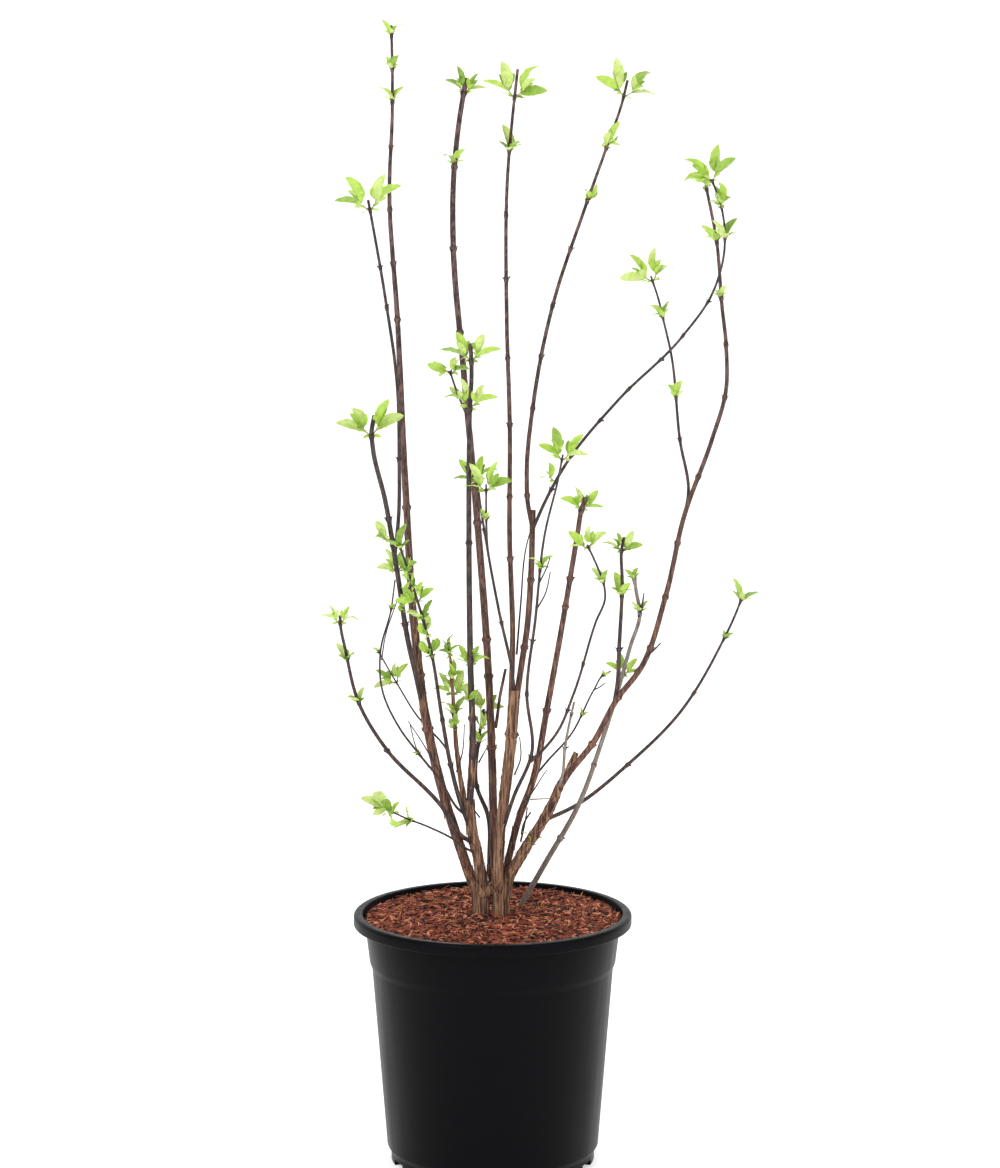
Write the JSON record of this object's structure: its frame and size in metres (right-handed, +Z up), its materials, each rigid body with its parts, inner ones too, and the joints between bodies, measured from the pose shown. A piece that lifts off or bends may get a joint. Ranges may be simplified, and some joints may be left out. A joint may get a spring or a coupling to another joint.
{
  "type": "potted shrub",
  "caption": "Many-stemmed deciduous shrub at bud break, bare canes with light green leaf tufts at tips and nodes, in a round black nursery pot filled with bark mulch.",
  "frame": {"origin": "centre of the pot's flat underside", "axes": "+Z up, +X to the right and +Y to the back as the picture shows the plant"},
  "size_m": [0.4368, 0.3137, 1.1381],
  "materials": {
    "pot": "satin black moulded polypropylene",
    "potting_mix": "loose red-brown bark fibre",
    "old_bark": "tan fibrous peeling bark",
    "red_bark": "red-brown thin bark",
    "dark_bark": "dark purple-brown young bark",
    "grey_bark": "pale grey weathered bark",
    "leafy_shoots": "soft light green young leaves"
  },
  "bodies": {
    "root": {"cane_centre_tall": "red_bark", "cane_centre_tall_top": "leafy_shoots", "cane_centre_thin": "dark_bark", "cane_centre_thin_top": "leafy_shoots", "cane_dark_inner": "dark_bark", "cane_dark_inner_top": "leafy_shoots", "cane_far_left": "dark_bark", "cane_far_left_top": "leafy_shoots", "cane_far_right": "red_bark", "cane_far_right_top": "leafy_shoots", "cane_front_stub": "dark_bark", "cane_front_stub_top": "leafy_shoots", "cane_inner_thin": "dark_bark", "cane_inner_thin_top": "leafy_shoots", "cane_kinked": "dark_bark", "cane_kinked_top": "leafy_shoots", "cane_left_forked": "dark_bark", "cane_left_forked_top": "leafy_shoots", "cane_left_slim": "dark_bark", "cane_left_slim_top": "leafy_shoots", "cane_left_stub": "leafy_shoots", "cane_left_tall": "red_bark", "cane_left_tall_top": "leafy_shoots", "cane_left_thin": "dark_bark", "cane_left_thin_top": "leafy_shoots", "cane_pale": "grey_bark", "cane_pale_top": "leafy_shoots", "cane_right_arching": "dark_bark", "cane_right_arching_top": "leafy_shoots", "cane_right_head": "red_bark", "cane_right_inner": "dark_bark", "cane_right_inner_top": "leafy_shoots", "cane_right_low": "dark_bark", "cane_right_low_top": "leafy_shoots", "cane_right_short": "dark_bark", "cane_right_short_top": "leafy_shoots", "cane_right_tall": "red_bark", "cane_right_tall_top": "leafy_shoots", "cane_stub_thick": "red_bark", "cane_stub_thick_top": "leafy_shoots", "cane_tall_brown": "red_bark", "cane_tall_brown_top": "leafy_shoots", "crown": "old_bark", "leaves_arching_foot": "leafy_shoots", "leaves_front_back": "leafy_shoots", "leaves_left_low": "leafy_shoots", "leaves_left_middle": "leafy_shoots", "pot": "pot", "potting_mix": "potting_mix", "trunk_centre": "old_bark", "trunk_left": "old_bark", "trunk_right": "old_bark", "twig_centre_front": "leafy_shoots", "twig_far_left": "leafy_shoots", "twig_left_back": "leafy_shoots", "twig_low_left": "leafy_shoots", "twig_right_low": "leafy_shoots", "twig_stub_right": "grey_bark", "twig_tall_side": "leafy_shoots"}
  },
  "joints": []
}
